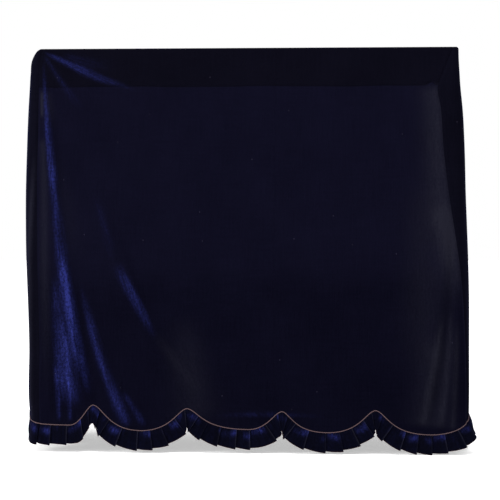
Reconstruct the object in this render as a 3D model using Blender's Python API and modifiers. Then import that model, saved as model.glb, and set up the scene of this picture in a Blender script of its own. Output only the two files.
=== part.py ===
"""A fitted velvet cover, as it hangs: top, front, sides and back, with piping and a pleated frill on a scalloped seam.

Metres, X to the right, front at -Y, Z up. The origin is the middle of the top panel's underside.

Every hanging panel is cut from one outer surface, skin(girth, z). The girth is measured round the cover from the
middle of the front, positive to the right and negative to the left, and z is the depth below the top of the cloth.
"""

import math
from typing import NamedTuple

import bmesh
import bpy
import numpy as np
from mathutils import Vector

# The cover's driving sizes
TOP_WIDTH = 1.456
TOP_DEPTH = 0.38
KNEE_DROP = 0.72  # the front slopes out as far down as this, then hangs straight
KNEE_REACH = 0.24
KNEE_SOFTNESS = 0.07
TOP_FALL = 0.138  # how far the top panel falls over the front edge
BACK_LENGTH = 1.24

# Cloth
CLOTH = 0.002
FRILL_CLOTH = 0.0012
SEAM_GAP = 0.0007  # between two panels at a seam
FALL_GAP = 0.001  # between the top panel and the front panel, where folds cross their seam
EDGE_GAP = 0.0007  # between the top panel and the panels that bend over its edges
EDGE_BEND = 0.008
TOP_CORNER = 0.014
SEAM_PAST_CORNER = 0.004

# Piping and frill
PIPING_RADIUS = 0.0022
PIPING_GAP = 0.0009
FRILL_GAP = 0.0011
PIPING_END = 0.0007
FRILL_WIDTH = 0.063
PLEAT_PITCH = 0.046
PLEAT_OVERLAP = 0.3  # share of the pitch that lies under the next pleat
PLEAT_TURN = 0.0013
PLEAT_STEP = 0.006  # how much lower a pleat's fold hangs than its start
PLEAT_SPREAD = 1.7  # how much further apart the layers are at the bottom


class Level(NamedTuple):
    """The cover's plan at one depth: each outline and front seam, for both front corners."""

    z: float
    left_out: float
    right_out: float
    left_seam: float
    right_seam: float
    left_round: float
    right_round: float


# The outlines stand out past the top's edges, and the seams lie in from the outlines.
LEVELS = (
    Level(0.000, 0.000, 0.000, 0.018, 0.018, 0.014, 0.014),
    Level(-0.012, 0.011, 0.000, 0.024, 0.023, 0.020, 0.016),
    Level(-0.033, 0.023, 0.000, 0.032, 0.032, 0.030, 0.018),
    Level(-0.090, 0.029, 0.002, 0.037, 0.058, 0.040, 0.024),
    Level(-0.138, 0.030, 0.004, 0.040, 0.078, 0.047, 0.028),
    Level(-0.216, 0.031, 0.010, 0.043, 0.076, 0.055, 0.034),
    Level(-0.370, 0.028, 0.014, 0.046, 0.073, 0.060, 0.040),
    Level(-0.505, 0.023, 0.014, 0.047, 0.060, 0.060, 0.044),
    Level(-0.640, 0.015, 0.016, 0.047, 0.044, 0.060, 0.047),
    Level(-0.860, 0.003, 0.020, 0.044, 0.023, 0.060, 0.050),
    Level(-1.020, -0.002, 0.020, 0.043, 0.013, 0.060, 0.050),
    Level(-1.200, -0.001, 0.020, 0.042, 0.010, 0.060, 0.050),
    Level(-1.300, -0.010, 0.018, 0.036, 0.008, 0.060, 0.050),
)


class Scallop(NamedTuple):
    """One peak of the lower seam, by girth, and the low between it and the next row's.

    low_at is the low's place as a share of the way to the next peak. A greater roundness makes the flank on that
    side of the peak leave it more slowly. The last two columns are how nearly the frill's free edge closes into a
    notch, left and right of the peak."""

    peak_at: float
    peak_z: float
    low_at: float
    low_z: float
    round_left: float
    round_right: float
    closing_left: float
    closing_right: float


SCALLOPS = (
    Scallop(-1.439, -1.222, 0.50, -1.292, 0.50, 0.40, 0.85, 0.85),
    Scallop(-1.127, -1.220, 0.50, -1.288, 0.50, 0.40, 0.85, 0.85),
    Scallop(-0.815, -1.217, 0.75, -1.280, 0.40, 0.15, 0.70, 0.70),
    Scallop(-0.502, -1.213, 0.51, -1.297, 2.00, 0.55, 0.25, 0.62),
    Scallop(-0.187, -1.223, 0.65, -1.291, 0.55, 0.33, 0.90, 0.88),
    Scallop(0.128, -1.231, 0.49, -1.300, 1.00, 0.35, 0.90, 0.90),
    Scallop(0.437, -1.226, 0.50, -1.305, 0.55, 0.38, 0.88, 0.90),
    Scallop(0.800, -1.232, 0.50, -1.300, 0.60, 0.40, 0.80, 0.85),
    Scallop(1.100, -1.228, 0.50, -1.298, 0.50, 0.40, 0.85, 0.85),
    Scallop(1.399, -1.228, 0.50, -1.298, 0.50, 0.40, 0.85, 0.85),
)
SCALLOP_POWER = 1.8  # makes its lows a little wider than its peaks


class Fold(NamedTuple):
    """A ridge, or a trough where its height is negative, through three places on the skin as (girth, z)."""

    start: tuple
    middle: tuple
    end: tuple
    start_width: float
    end_width: float
    height: float
    fade_in: float  # share of its length over which it rises
    fade_out: float


FOLDS = {
    "shoulder_fold": Fold((-0.712, -0.014), (-0.590, -0.082), (-0.402, -0.150), 0.010, 0.026, 0.009, 0.25, 0.5),
    "second_shoulder_fold": Fold((-0.707, -0.031), (-0.609, -0.163), (-0.500, -0.330), 0.010, 0.030, 0.005, 0.2, 0.6),
    "long_fold": Fold((-0.712, -0.030), (-0.640, -0.600), (-0.545, -1.215), 0.012, 0.044, 0.020, 0.25, 0.1),
    "long_trough": Fold((-0.660, -0.150), (-0.585, -0.720), (-0.470, -1.270), 0.020, 0.022, -0.007, 0.4, 0.2),
    "hem_fold": Fold((-0.530, -0.780), (-0.465, -1.077), (-0.362, -1.290), 0.020, 0.026, 0.009, 0.4, 0.15),
    "knee_fold": Fold((-0.506, -0.430), (-0.400, -0.800), (-0.200, -1.215), 0.024, 0.034, 0.011, 0.5, 0.5),
    "knee_trough": Fold((-0.440, -0.520), (-0.350, -0.820), (-0.150, -1.180), 0.030, 0.040, -0.005, 0.5, 0.6),
    "soft_swell": Fold((-0.185, -0.780), (-0.170, -1.000), (-0.130, -1.290), 0.060, 0.070, 0.005, 0.5, 0.3),
    "hem_swell": Fold((-0.060, -1.245), (0.110, -1.238), (0.290, -1.245), 0.022, 0.022, 0.004, 0.4, 0.4),
    "right_fold": Fold((0.668, -0.200), (0.662, -0.760), (0.580, -1.270), 0.030, 0.030, 0.010, 0.5, 0.1),
    "right_trough": Fold((0.690, -0.420), (0.682, -0.860), (0.618, -1.280), 0.018, 0.018, -0.006, 0.5, 0.1),
    "right_outer_fold": Fold((0.700, -0.480), (0.702, -0.900), (0.662, -1.290), 0.018, 0.020, 0.008, 0.5, 0.1),
    "left_edge_trough": Fold((-0.704, -0.420), (-0.700, -0.860), (-0.690, -1.270), 0.009, 0.011, -0.005, 0.3, 0.1),
    "left_edge_fold": Fold((-0.724, -0.400), (-0.721, -0.860), (-0.712, -1.270), 0.010, 0.012, 0.005, 0.3, 0.1),
}
FOLD_LEGS = 12  # straight legs in which a fold's curved line is followed


class Flute(NamedTuple):
    """A soft vertical fold of a side panel, deepest at the hem, by its distance behind the front corner."""

    behind: float
    width: float
    depth: float


FLUTES = {
    "left": (Flute(0.10, 0.050, 0.007), Flute(0.24, 0.065, -0.006), Flute(0.39, 0.055, 0.008)),
    "right": (Flute(0.08, 0.045, -0.005), Flute(0.20, 0.060, 0.009), Flute(0.36, 0.070, -0.006)),
}


class Flare(NamedTuple):
    """How far the frill tips outward, in degrees, and what share of its width it reaches at one girth."""

    at: float
    tip: float
    reach: float


FLARES = (
    Flare(-1.30, 6, 1.0), Flare(-0.85, 1, 1.06), Flare(-0.74, 1, 1.16), Flare(-0.67, 1, 1.06), Flare(-0.60, 6, 0.98),
    Flare(-0.54, 6, 1.0), Flare(-0.50, 6, 0.95), Flare(-0.46, 6, 1.0),
    Flare(0.60, 8, 1.0), Flare(0.76, 12, 0.94), Flare(0.95, 8, 1.0), Flare(1.34, 6, 1.0),
)


# Rows and columns of the panels
BEND_ANGLES = (30, 60, 90)
FALL_ROWS = (0.022, 0.050, 0.090, TOP_FALL)
PANEL_ROWS = (0.07, 0.16, 0.27, 0.39, 0.51, 0.63, 0.75, 0.88, 1.0)
FINE_STEP = 0.011
COARSE_STEP = 0.029
FINE_WITHIN = 0.07
CORNER_STATIONS = (0.0, SEAM_PAST_CORNER, SEAM_PAST_CORNER + 0.0047, SEAM_PAST_CORNER + 0.0094)

NAVY = (0.0045, 0.0038, 0.016, 1.0)
DEEP_NAVY = (0.0035, 0.003, 0.011, 1.0)
TAN = (0.13, 0.085, 0.07, 1.0)


def level(column, z):
    """One column of LEVELS at a depth."""
    depths = [-row.z for row in LEVELS]
    return float(np.interp(-z, depths, [getattr(row, column) for row in LEVELS]))


def edge_bend(z):
    """How far inside the top's outline the bend over its edge lies at a depth."""
    if z <= -EDGE_BEND:
        return 0.0
    return math.sqrt(max(0.0, EDGE_BEND**2 - (EDGE_BEND + z) ** 2)) - EDGE_BEND


def front_line(z):
    """How far in front of the middle the front hangs at a depth."""
    share = max(0.0, -z / KNEE_DROP)
    ramp = 1 - KNEE_SOFTNESS * math.log1p(math.exp(min(50.0, (1 - share) / KNEE_SOFTNESS)))
    return TOP_DEPTH / 2 + edge_bend(z) + KNEE_REACH * ramp


class Plan(NamedTuple):
    """One side of the cover's horizontal outline at a depth."""

    half_width: float
    front: float
    back: float
    front_round: float
    back_round: float

    @property
    def corner_at(self):
        """The girth at which the front corner's arc starts."""
        return self.half_width - self.front_round

    @property
    def side_at(self):
        return self.corner_at + self.front_round * math.pi / 2

    @property
    def back_corner_at(self):
        return self.side_at + self.front - self.front_round + self.back - self.back_round

    @property
    def back_at(self):
        return self.back_corner_at + self.back_round * math.pi / 2


def plan(side, z):
    name = "left" if side < 0 else "right"
    bend = edge_bend(z)
    return Plan(
        half_width=TOP_WIDTH / 2 + bend + level(f"{name}_out", z),
        front=front_line(z),
        back=TOP_DEPTH / 2 + bend,
        front_round=level(f"{name}_round", z) + bend,
        back_round=TOP_CORNER + bend,
    )


def on_plan(side, z, girth):
    """The place and the outward direction at a distance from the front's middle, as (x, y, normal x, normal y)."""
    shape = plan(side, z)
    if girth <= shape.corner_at:
        return side * girth, -shape.front, 0.0, -1.0
    if girth <= shape.side_at:
        turn = (girth - shape.corner_at) / shape.front_round
        x = shape.corner_at + shape.front_round * math.sin(turn)
        y = shape.front_round * (1 - math.cos(turn)) - shape.front
        return side * x, y, side * math.sin(turn), -math.cos(turn)
    back_width = TOP_WIDTH / 2 + edge_bend(z)
    if girth <= shape.back_corner_at:
        share = (girth - shape.side_at) / (shape.back_corner_at - shape.side_at)
        x = shape.half_width + (back_width - shape.half_width) * share
        return side * x, girth - shape.side_at + shape.front_round - shape.front, side, 0.0
    if girth <= shape.back_at:
        turn = (girth - shape.back_corner_at) / shape.back_round
        x = back_width - shape.back_round * (1 - math.cos(turn))
        y = shape.back - shape.back_round * (1 - math.sin(turn))
        return side * x, y, side * math.cos(turn), math.sin(turn)
    return side * (back_width - shape.back_round - girth + shape.back_at), shape.back, 0.0, 1.0


def fold_height(fold, girth, z):
    """How far a fold lifts the cloth at a place, from its distance to the fold's line."""
    start, middle, end = (np.array(p) for p in (fold.start, fold.middle, fold.end))
    pull = 2 * middle - (start + end) / 2
    t = np.linspace(0, 1, FOLD_LEGS + 1)[:, None]
    line = (1 - t) ** 2 * start + 2 * t * (1 - t) * pull + t**2 * end
    legs = np.diff(line, axis=0)
    reach = np.array([girth, z]) - line[:-1]
    along = np.clip((reach * legs).sum(1) / (legs**2).sum(1), 0, 1)
    away = np.hypot(*(reach - along[:, None] * legs).T)
    near = int(away.argmin())
    share = (near + along[near]) / FOLD_LEGS
    width = fold.start_width + (fold.end_width - fold.start_width) * share
    rise = min(1.0, share / fold.fade_in) * min(1.0, (1 - share) / fold.fade_out)
    return fold.height * rise * math.exp(-((away[near] / width) ** 2))


def flute_height(side, z, girth):
    """The side panels' soft folds, which grow from the top to the hem."""
    behind = girth - plan(side, z).side_at
    if behind <= 0:
        return 0.0
    rows = FLUTES["left" if side < 0 else "right"]
    waves = sum(f.depth * math.exp(-(((behind - f.behind) / f.width) ** 2)) for f in rows)
    return waves * min(1.0, -z / 1.2)


def skin(girth, z):
    """The cover's outer surface, as (place, outward direction)."""
    side = -1 if girth < 0 else 1
    x, y, normal_x, normal_y = on_plan(side, z, abs(girth))
    lift = flute_height(side, z, abs(girth))
    if abs(girth) < plan(side, z).side_at + 0.05:
        lift += sum(fold_height(fold, girth, z) for fold in FOLDS.values()) * min(1.0, -z / 0.02)
    place = np.array([x + normal_x * lift, y + normal_y * lift, z + CLOTH])
    return place, np.array([normal_x, normal_y, 0.0])


def seam_at(side, z):
    """The girth of the front seam at a depth, from its distance in from the outline below the bend."""
    shape = plan(side, z)
    inset = level("left_seam" if side < 0 else "right_seam", z) + edge_bend(z)
    if inset >= shape.front_round:
        return shape.half_width - inset
    return shape.corner_at + shape.front_round * math.asin(1 - inset / shape.front_round)


def scallop(girth):
    """The lower seam's depth at a girth, its slope there, and how far the frill may turn there, as a sine."""
    i = max(k for k, row in enumerate(SCALLOPS[:-1]) if row.peak_at <= girth)
    left, right = SCALLOPS[i], SCALLOPS[i + 1]
    pitch = right.peak_at - left.peak_at
    share = (girth - left.peak_at) / pitch
    if share < left.low_at:
        stretch, roundness = 0.5 / left.low_at, left.round_right
        turn = share * stretch
    else:
        stretch, roundness = 0.5 / (1 - left.low_at), right.round_left
        turn = 1 - (1 - share) * stretch
    wave = max(0.0, math.sin(math.pi * turn))
    rise = wave**SCALLOP_POWER
    peak_z = left.peak_z + (right.peak_z - left.peak_z) * share
    sag = left.low_z - peak_z
    z = peak_z + sag * rise * (1 + roundness) / (rise + roundness)
    rise_slope = SCALLOP_POWER * wave ** (SCALLOP_POWER - 1) * math.cos(math.pi * turn) * math.pi * stretch / pitch
    slope = sag * rise_slope * (1 + roundness) * roundness / (rise + roundness) ** 2
    if share < 0.5:
        return z, slope, left.closing_right * share * pitch / FRILL_WIDTH
    return z, slope, right.closing_left * (1 - share) * pitch / FRILL_WIDTH


def panel_hem(girth):
    """Where a panel's cloth ends, just above the piping."""
    z, slope, _ = scallop(girth)
    return z + (PIPING_RADIUS + PIPING_GAP) * math.hypot(1, slope)


def hem_of(girth_at):
    """The depth at which a column meets its hem. Its girth depends on the depth, so this is found in a few steps."""
    z = HEM_Z
    for _ in range(4):
        z = panel_hem(girth_at(z))
    return z


def stations(start, end):
    """Girths from start to end, closer together near the scallops' peaks, where the hem turns."""
    places = [start]
    while places[-1] < end:
        away = min(abs(places[-1] - row.peak_at) for row in SCALLOPS)
        places.append(places[-1] + FINE_STEP + (COARSE_STEP - FINE_STEP) * min(1.0, away / FINE_WITHIN))
    places = np.array(places)
    return start + (places - start) * (end - start) / (places[-1] - start)


HEM_Z = -1.28
FALL_Z = tuple(-EDGE_BEND * (1 - math.cos(math.radians(a))) for a in BEND_ANGLES) + tuple(-d for d in FALL_ROWS)


def front_columns():
    """The front panel's columns, as shares of its width."""
    left, right = -seam_at(-1, HEM_Z), seam_at(1, HEM_Z)
    inner = stations(left + CORNER_STATIONS[1], right - CORNER_STATIONS[1])
    girths = np.concatenate([[left], inner, [right]])
    return (girths - left) / (right - left)


def front_girth(share, z):
    left = -seam_at(-1, z) + SEAM_GAP / 2
    right = seam_at(1, z) - SEAM_GAP / 2
    return left + (right - left) * share


def side_columns(side):
    """A side panel's columns as distances back from its front seam at the hem."""
    shape = plan(side, HEM_Z)
    length = shape.back_at + SEAM_PAST_CORNER - seam_at(side, HEM_Z) - SEAM_GAP
    ends = CORNER_STATIONS[-1]
    first = seam_at(side, HEM_Z)
    inner = np.abs(stations(*sorted((side * (first + ends), side * (first + length - ends)))))
    inner = np.sort(inner) - first
    return np.concatenate([CORNER_STATIONS[:-1], inner, length - np.array(CORNER_STATIONS[-2::-1])])


def side_girth(side, columns, i, z):
    """The girth of a side panel's column: those at both ends keep their distances, the others share what is left."""
    ends = len(CORNER_STATIONS) - 1
    start = seam_at(side, z) + SEAM_GAP / 2
    end = plan(side, z).back_at + SEAM_PAST_CORNER - SEAM_GAP / 2
    if i < ends:
        return start + columns[i]
    if i >= len(columns) - ends:
        return end - (columns[-1] - columns[i])
    share = (columns[i] - columns[ends]) / (columns[-1 - ends] - columns[ends])
    inner_start, inner_end = start + CORNER_STATIONS[-1], end - CORNER_STATIONS[-1]
    return inner_start + (inner_end - inner_start) * share


def material(name, colour, roughness):
    made = bpy.data.materials.new(name)
    made.use_nodes = True
    shader = made.node_tree.nodes["Principled BSDF"]
    shader.inputs["Base Color"].default_value = colour
    shader.inputs["Roughness"].default_value = roughness
    shader.inputs["Metallic"].default_value = 0.0
    made.diffuse_color = colour
    return made


def shaped_grid(name, columns, rows, place, collection, surface, thickness, offset):
    """A grid primitive whose points place() puts in the cover, thickened into cloth. Its faces point outward."""
    bm = bmesh.new()
    bmesh.ops.create_grid(bm, x_segments=columns - 1, y_segments=rows - 1, size=1)
    for v in bm.verts:
        column = round((v.co.x + 1) / 2 * (columns - 1))
        row = round((1 - v.co.y) / 2 * (rows - 1))
        v.co = Vector(place(column, row))
    mesh = bpy.data.meshes.new(name)
    bm.to_mesh(mesh)
    bm.free()
    mesh.shade_smooth()
    mesh.materials.append(surface)
    made = bpy.data.objects.new(name, mesh)
    collection.objects.link(made)
    thicken = made.modifiers.new("cloth", "SOLIDIFY")
    thicken.thickness = thickness
    thicken.offset = offset
    return made


def build_top_panel(collection, surface):
    """Flat over the top, bent over the front edge and down to its seam."""
    columns = front_columns()
    last = len(columns) - 1
    shares = columns[sorted({0, *range(1, last, 2), last - 1, last})]
    inner_x = TOP_WIDTH / 2 - TOP_CORNER
    corner = TOP_CORNER - EDGE_BEND
    seam_x = inner_x - SEAM_PAST_CORNER - EDGE_GAP
    reach = corner - EDGE_GAP
    lid_rows = [(TOP_DEPTH / 2 - EDGE_BEND - 1.5 * EDGE_GAP, seam_x + EDGE_GAP)]
    for angle in (45, 90):
        turn = math.radians(angle)
        lid_rows.append((TOP_DEPTH / 2 - TOP_CORNER + reach * math.cos(turn), inner_x + reach * math.sin(turn)))
    lid_rows += [(share * TOP_DEPTH / 2, lid_rows[2][1]) for share in (0.4, -0.4)]
    lid_rows += [(-y, x) for y, x in reversed(lid_rows[:3])]
    lid_rows.append((EDGE_BEND - TOP_DEPTH / 2, seam_x))

    def place(column, row):
        share = shares[column]
        if row < len(lid_rows):
            y, half = lid_rows[row]
            return (2 * share - 1) * half, y, CLOTH
        z = FALL_Z[row - len(lid_rows)]
        if z == -TOP_FALL:
            z += FALL_GAP
        return skin(front_girth(share, z), z)[0]

    shaped_grid("top_panel", len(shares), len(lid_rows) + len(FALL_Z), place, collection, surface, CLOTH, -1)


def build_front_panel(collection, surface):
    shares = front_columns()

    def place(column, row):
        hem = hem_of(lambda z: front_girth(shares[column], z))
        z = -TOP_FALL + (hem + TOP_FALL) * ((0.0,) + PANEL_ROWS)[row]
        return skin(front_girth(shares[column], z), z)[0]

    shaped_grid("front_panel", len(shares), len(PANEL_ROWS) + 1, place, collection, surface, CLOTH, -1)


def build_side_panel(side, collection, surface):
    """Bent over the top's side edge, from the front seam to just round the back corner."""
    columns = side_columns(side)

    def place(column, row):
        i = column if side > 0 else len(columns) - 1 - column
        hem = hem_of(lambda z: side * side_girth(side, columns, i, z))
        depths = (0.0,) + FALL_Z + tuple(-TOP_FALL + (hem + TOP_FALL) * share for share in PANEL_ROWS)
        z = depths[row]
        return skin(side * side_girth(side, columns, i, z), z)[0]

    rows = 1 + len(FALL_Z) + len(PANEL_ROWS)
    name = "left_side_panel" if side < 0 else "right_side_panel"
    shaped_grid(name, len(columns), rows, place, collection, surface, CLOTH, -1)


def build_back_panel(collection, surface):
    """Plain, from the top's back edge down to a straight hem."""
    depths = (0.0,) + FALL_Z[: len(BEND_ANGLES)] + (-0.3, -0.6, -0.9, -BACK_LENGTH)
    half = TOP_WIDTH / 2 - TOP_CORNER - SEAM_PAST_CORNER - SEAM_GAP / 2
    columns = 7

    def place(column, row):
        z = depths[row]
        x = half * (1 - 2 * column / (columns - 1))
        return x, TOP_DEPTH / 2 + edge_bend(z), z + CLOTH

    shaped_grid("back_panel", columns, len(depths), place, collection, surface, CLOTH, -1)


class Edge:
    """The scalloped seam under one panel, as a line through its columns' girths."""

    def __init__(self, girths):
        self.girths = np.array(girths)
        found = [skin(girth, scallop(girth)[0]) for girth in girths]
        self.places = np.array([place for place, _ in found])
        self.normals = np.array([normal for _, normal in found])
        steps = np.linalg.norm(np.diff(self.places, axis=0), axis=1)
        self.along = np.concatenate([[0], np.cumsum(steps)])
        self.length = float(self.along[-1])

    def read(self, values, distance):
        return np.array([np.interp(distance, self.along, values[:, k]) for k in range(3)])

    def frame(self, distance):
        """The seam's place, the outward direction, the direction in which the frill hangs from it, and how much
        further along that direction the frill starts because it isn't square to the seam."""
        girth = float(np.interp(distance, self.along, self.girths))
        place = self.read(self.places, distance)
        normal = self.read(self.normals, distance)
        normal /= np.linalg.norm(normal)
        _, slope, most = scallop(girth)
        turn = math.copysign(min(math.atan(abs(slope)), math.asin(min(most, 1.0))), slope)
        askew = 1 / math.cos(math.atan(slope) - turn)
        rightward = np.array([-normal[1], normal[0], 0.0])
        hang = math.sin(turn) * rightward - math.cos(turn) * np.array([0.0, 0.0, 1.0])
        places = [f.at for f in FLARES]
        tip = math.radians(float(np.interp(girth, places, [f.tip for f in FLARES])))
        reach = float(np.interp(girth, places, [f.reach for f in FLARES]))
        return place, normal, reach * (math.cos(tip) * hang + math.sin(tip) * normal), askew


def front_edge():
    girths = []
    for share in front_columns():
        girths.append(front_girth(share, hem_of(lambda z: front_girth(share, z))))
    return Edge(girths)


def side_edge(side):
    columns = side_columns(side)
    girths = []
    for i in range(len(columns)):
        hem = hem_of(lambda z: side * side_girth(side, columns, i, z))
        girths.append(side * side_girth(side, columns, i, hem))
    return Edge(sorted(girths))


def pleat_path(length):
    """The frill's section as (distance along the seam, distance out, share of the step down), a knife pleat at a time.

    Each pleat rises from under the one before it to its own fold, which turns back under it."""
    count = round(length / PLEAT_PITCH)
    pitch = length / count
    turn, gap = PLEAT_TURN, 2 * PLEAT_TURN
    top = 2 * gap
    path = [(0.0, 0.0, 0.0)]
    for k in range(count):
        start, fold = k * pitch, (k + 1) * pitch
        path += [
            (start + 0.10 * pitch, 0.25 * top, 0.15),
            (start + 0.40 * pitch, 0.60 * top, 0.45),
            (fold - PLEAT_OVERLAP * pitch, 0.90 * top, 0.70),
        ]
        if k == count - 1:
            path.append((fold, top, 1.0))
            break
        under = fold - PLEAT_OVERLAP * pitch
        path += [
            (fold, top, 1.0),
            (fold + turn, top - turn, 1.0),
            (fold, top - gap, 1.0),
            (under, gap, 0.1),
            (under - turn, turn, 0.0),
            (under, 0.0, 0.0),
        ]
    return path


def build_frill(name, edge, collection, surface):
    """A pleated strip under one panel's seam. Its two rows are its sewn edge and its free edge."""
    end = SEAM_GAP / 2
    path = pleat_path(edge.length - 2 * end)
    sewn_at = PIPING_RADIUS + FRILL_GAP

    def place(column, row):
        distance, out, step = path[column]
        start, normal, hang, askew = edge.frame(distance + end)
        if row == 0:
            return start + normal * (out - CLOTH / 2) + hang * sewn_at * askew
        return start + normal * (out * PLEAT_SPREAD - CLOTH / 2) + hang * (FRILL_WIDTH + PLEAT_STEP * (step - 0.5))

    shaped_grid(name, len(path), 2, place, collection, surface, FRILL_CLOTH, 0)


def build_piping(name, edge, collection, surface):
    """A cord along one panel's seam."""
    inside = [d for d in edge.along[1:-1] if PIPING_END * 2 < d < edge.length - PIPING_END * 2]
    distances = [PIPING_END] + inside + [edge.length - PIPING_END]
    curve = bpy.data.curves.new(name, "CURVE")
    curve.dimensions = "3D"
    curve.bevel_depth = PIPING_RADIUS
    curve.bevel_resolution = 2
    curve.use_fill_caps = True
    line = curve.splines.new("POLY")
    line.points.add(len(distances) - 1)
    for point, distance in zip(line.points, distances):
        place = edge.read(edge.places, distance)
        point.co = (*place, 1.0)
    curve.materials.append(surface)
    made = bpy.data.objects.new(name, curve)
    collection.objects.link(made)


def clear_scene():
    for old in list(bpy.data.objects):
        bpy.data.objects.remove(old)


def main():
    clear_scene()
    cover = bpy.data.collections.new("piano_cover")
    bpy.context.scene.collection.children.link(cover)
    velvet = material("navy_velvet", NAVY, 0.9)
    pleated = material("frill_velvet", DEEP_NAVY, 0.85)
    cord = material("tan_cord", TAN, 0.7)
    build_top_panel(cover, velvet)
    build_front_panel(cover, velvet)
    build_back_panel(cover, velvet)
    for side in (-1, 1):
        build_side_panel(side, cover, velvet)
    for name, edge in (("front", front_edge()), ("left", side_edge(-1)), ("right", side_edge(1))):
        build_frill(f"{name}_frill", edge, cover, pleated)
        build_piping(f"{name}_piping", edge, cover, cord)


main()
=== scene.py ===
"""The looks of a navy velvet cover with cord and a pleated frill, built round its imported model."""

import math
import random
from typing import NamedTuple

import bpy
import numpy as np
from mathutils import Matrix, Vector


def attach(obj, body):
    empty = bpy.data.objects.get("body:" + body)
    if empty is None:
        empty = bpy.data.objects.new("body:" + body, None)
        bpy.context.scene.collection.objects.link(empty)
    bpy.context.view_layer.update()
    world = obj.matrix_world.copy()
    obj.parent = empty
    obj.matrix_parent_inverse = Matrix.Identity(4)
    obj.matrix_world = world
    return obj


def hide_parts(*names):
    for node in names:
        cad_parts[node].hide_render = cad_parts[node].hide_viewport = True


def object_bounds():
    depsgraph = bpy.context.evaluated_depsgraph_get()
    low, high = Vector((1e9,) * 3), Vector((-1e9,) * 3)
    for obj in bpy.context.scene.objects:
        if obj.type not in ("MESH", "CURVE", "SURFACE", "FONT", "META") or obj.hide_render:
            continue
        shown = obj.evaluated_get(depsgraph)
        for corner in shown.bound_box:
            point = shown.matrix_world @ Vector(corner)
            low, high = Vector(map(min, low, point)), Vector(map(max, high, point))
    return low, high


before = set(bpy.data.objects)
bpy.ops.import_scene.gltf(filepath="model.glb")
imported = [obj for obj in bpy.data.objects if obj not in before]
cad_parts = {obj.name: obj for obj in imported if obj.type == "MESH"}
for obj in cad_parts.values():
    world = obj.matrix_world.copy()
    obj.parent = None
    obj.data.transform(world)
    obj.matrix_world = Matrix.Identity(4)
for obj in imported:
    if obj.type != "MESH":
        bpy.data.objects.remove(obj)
CAD_BOX = [list(corner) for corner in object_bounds()]
FLOOR_Z = CAD_BOX[0][2]

bl_info = {
    "name": "Velvet cover",
    "version": (1, 0, 0),
    "blender": (4, 5, 0),
    "location": "View3D > Sidebar > Cover",
    "description": "Builds a fitted velvet cover with cord and a pleated frill round its packed model",
    "category": "Object",
}

# Sizes that the solids have too
TOP_WIDTH = 1.456
TOP_DEPTH = 0.38
KNEE_DROP = 0.72
KNEE_REACH = 0.24
KNEE_SOFTNESS = 0.07
TOP_FALL = 0.138
BACK_LENGTH = 1.24
CLOTH = 0.002
EDGE_BEND = 0.008
TOP_CORNER = 0.014
SEAM_PAST_CORNER = 0.004
HEM_Z = -1.28
PLEAT_OVERLAP = 0.3
PLEAT_STEP = 0.006
PLEAT_SPREAD = 1.7
SEWN_IN = 0.35  # how near the cord's middle the cloth and the frill are sewn, as a share of its radius
FOLD_LEGS = 24


class Level(NamedTuple):
    """The cover's plan at one depth: each outline and front seam, for both front corners."""

    z: float
    left_out: float
    right_out: float
    left_seam: float
    right_seam: float
    left_round: float
    right_round: float


LEVELS = (
    Level(0.000, 0.000, 0.000, 0.018, 0.018, 0.014, 0.014),
    Level(-0.012, 0.011, 0.000, 0.024, 0.023, 0.020, 0.016),
    Level(-0.033, 0.023, 0.000, 0.032, 0.032, 0.030, 0.018),
    Level(-0.090, 0.029, 0.002, 0.037, 0.058, 0.040, 0.024),
    Level(-0.138, 0.030, 0.004, 0.040, 0.078, 0.047, 0.028),
    Level(-0.216, 0.031, 0.010, 0.043, 0.076, 0.055, 0.034),
    Level(-0.370, 0.028, 0.014, 0.046, 0.073, 0.060, 0.040),
    Level(-0.505, 0.023, 0.014, 0.047, 0.060, 0.060, 0.044),
    Level(-0.640, 0.015, 0.016, 0.047, 0.044, 0.060, 0.047),
    Level(-0.860, 0.003, 0.020, 0.044, 0.023, 0.060, 0.050),
    Level(-1.020, -0.002, 0.020, 0.043, 0.013, 0.060, 0.050),
    Level(-1.200, -0.001, 0.020, 0.042, 0.010, 0.060, 0.050),
    Level(-1.300, -0.010, 0.018, 0.036, 0.008, 0.060, 0.050),
)


class Scallop(NamedTuple):
    """One peak of the lower seam, by girth, and the low between it and the next row's."""

    peak_at: float
    peak_z: float
    low_at: float
    low_z: float
    round_left: float
    round_right: float
    closing_left: float
    closing_right: float


SCALLOPS = (
    Scallop(-1.439, -1.222, 0.50, -1.292, 0.50, 0.40, 0.85, 0.85),
    Scallop(-1.127, -1.220, 0.50, -1.288, 0.50, 0.40, 0.85, 0.85),
    Scallop(-0.815, -1.217, 0.75, -1.280, 0.40, 0.15, 0.70, 0.70),
    Scallop(-0.502, -1.213, 0.51, -1.297, 2.00, 0.55, 0.25, 0.62),
    Scallop(-0.187, -1.223, 0.65, -1.291, 0.55, 0.33, 0.90, 0.88),
    Scallop(0.128, -1.231, 0.49, -1.300, 1.00, 0.35, 0.90, 0.90),
    Scallop(0.437, -1.226, 0.50, -1.305, 0.55, 0.38, 0.88, 0.90),
    Scallop(0.800, -1.232, 0.50, -1.300, 0.60, 0.40, 0.80, 0.85),
    Scallop(1.100, -1.228, 0.50, -1.298, 0.50, 0.40, 0.85, 0.85),
    Scallop(1.399, -1.228, 0.50, -1.298, 0.50, 0.40, 0.85, 0.85),
)
SCALLOP_POWER = 1.8


class Fold(NamedTuple):
    """A ridge, or a trough where its height is negative, through three places on the cloth as (girth, z)."""

    start: tuple
    middle: tuple
    end: tuple
    start_width: float
    end_width: float
    height: float
    fade_in: float
    fade_out: float


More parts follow.
